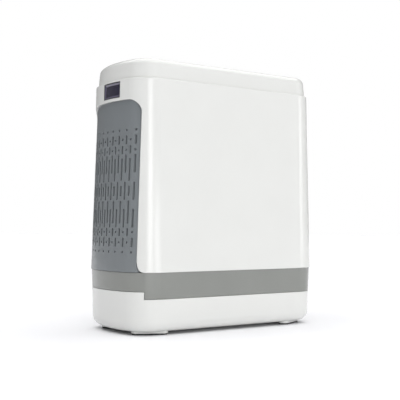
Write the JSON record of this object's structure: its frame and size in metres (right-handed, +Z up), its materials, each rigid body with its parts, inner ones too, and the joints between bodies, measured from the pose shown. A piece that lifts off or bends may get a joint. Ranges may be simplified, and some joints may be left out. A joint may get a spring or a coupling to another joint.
{
  "type": "oxygen concentrator",
  "caption": "Portable oxygen concentrator with slotted grille ends, end display, top controls and outlet nozzle, and a slide-out battery base with rubber feet.",
  "frame": {"origin": "on the floor under the centre of the body, at the underside of the rubber feet", "axes": "+Z up, +Y towards the rear, -X towards the end with the display and the air intake"},
  "size_m": [0.2066, 0.096, 0.2292],
  "materials": {
    "white_shell": "satin white ABS, finely textured",
    "grey_plastic": "satin grey ABS",
    "panel_dark": "matte printed overlay",
    "button_grey": "satin moulded buttons",
    "power_green": "satin moulded button",
    "nozzle_grey": "moulded nylon",
    "black_plastic": "black moulded plastic",
    "display_glass": "smoked acrylic window",
    "circuit_board": "solder-masked board",
    "foam": "open-cell foam",
    "rubber": "moulded rubber",
    "screw_steel": "machined steel",
    "cell_wrap": "shrink sleeve",
    "chassis_plastic": "moulded nylon",
    "aluminium": "machined aluminium",
    "motor_steel": "painted steel",
    "windings": "enamelled copper windings",
    "rotor_steel": "laminated steel",
    "piston": "cast aluminium with a sealing cup",
    "copper": "bare copper tube",
    "zeolite": "sieve beads",
    "brass": "turned brass",
    "silicone": "silicone tube"
  },
  "bodies": {
    "main_unit": {"main_housing": "white_shell", "top_cap": "white_shell", "right_grille": "grey_plastic", "base_band": "grey_plastic", "control_panel": "panel_dark", "outlet_nozzle": "nozzle_grey", "display_bezel": "black_plastic", "dc_inlet": "black_plastic", "battery_connector": "black_plastic", "fan_frame": "black_plastic", "buzzer": "black_plastic", "display_lens": "display_glass", "display_board": "circuit_board", "control_board": "circuit_board", "main_board": "circuit_board", "vibration_mounts": "rubber", "housing_screws": "screw_steel", "crank_bearings": "screw_steel", "inner_chassis": "chassis_plastic", "valve_manifold": "chassis_plastic", "intake_filter": "chassis_plastic", "pulse_valve": "chassis_plastic", "oxygen_sensor": "chassis_plastic", "crankcase": "aluminium", "cylinder_front": "aluminium", "cylinder_rear": "aluminium", "head_front": "aluminium", "head_rear": "aluminium", "sieve_bed_front": "aluminium", "sieve_bed_rear": "aluminium", "bed_base": "aluminium", "bed_cap": "aluminium", "product_tank": "aluminium", "motor_can": "motor_steel", "solenoid_valves": "motor_steel", "motor_stator": "windings", "cooling_coil": "copper", "zeolite": "zeolite", "regulator": "brass", "outlet_tube": "silicone"},
    "battery": {"battery_case": "white_shell", "battery_lid": "black_plastic", "battery_cells": "cell_wrap", "battery_board": "circuit_board", "foot_front_left": "rubber", "foot_front_right": "rubber", "foot_rear_left": "rubber", "foot_rear_right": "rubber"},
    "intake_cover": {"left_grille": "grey_plastic", "foam_filter": "foam"},
    "power": {"power_button": "power_green"},
    "flow_up": {"flow_up_button": "button_grey"},
    "flow_down": {"flow_down_button": "button_grey"},
    "mute": {"mute_button": "button_grey"},
    "release": {"release_button": "button_grey"},
    "fan": {"fan_rotor": "black_plastic"},
    "crank": {"crankshaft": "screw_steel", "motor_rotor": "rotor_steel"},
    "front_piston": {"piston_front": "piston"},
    "rear_piston": {"piston_rear": "piston"}
  },
  "joints": [
    {"name": "battery_slide", "type": "slide", "parent": "main_unit", "child": "battery", "axis": [-1, 0, 0], "range_m": [0, 0.185]},
    {"name": "grille_pull", "type": "slide", "parent": "main_unit", "child": "intake_cover", "axis": [-1, 0, 0], "range_m": [0, 0.03]},
    {"name": "power_press", "type": "slide", "parent": "main_unit", "child": "power", "axis": [0, 0, -1], "range_m": [0, 0.0008], "stiffness_N_per_m": 900},
    {"name": "flow_up_press", "type": "slide", "parent": "main_unit", "child": "flow_up", "axis": [0, 0, -1], "range_m": [0, 0.0008], "stiffness_N_per_m": 900},
    {"name": "flow_down_press", "type": "slide", "parent": "main_unit", "child": "flow_down", "axis": [0, 0, -1], "range_m": [0, 0.0008], "stiffness_N_per_m": 900},
    {"name": "mute_press", "type": "slide", "parent": "main_unit", "child": "mute", "axis": [0, 0, -1], "range_m": [0, 0.0008], "stiffness_N_per_m": 900},
    {"name": "release_press", "type": "slide", "parent": "main_unit", "child": "release", "axis": [0, -1, 0], "range_m": [0, 0.0025], "stiffness_N_per_m": 500},
    {"name": "fan_spin", "type": "hinge", "parent": "main_unit", "child": "fan", "pos_m": [-0.0815, 0, 0.104], "axis": [1, 0, 0], "continuous": true},
    {"name": "crank_spin", "type": "hinge", "parent": "main_unit", "child": "crank", "pos_m": [-0.036, 0, 0.074], "axis": [1, 0, 0], "continuous": true},
    {"name": "piston_front_slide", "type": "slide", "parent": "main_unit", "child": "front_piston", "axis": [0, 1, 0], "range_m": [-0.003, 0.003]},
    {"name": "piston_rear_slide", "type": "slide", "parent": "main_unit", "child": "rear_piston", "axis": [0, 1, 0], "range_m": [-0.003, 0.003]}
  ],
  "couplings": [
    {"joint": "piston_rear_slide", "follows": "piston_front_slide", "ratio": 1}
  ]
}
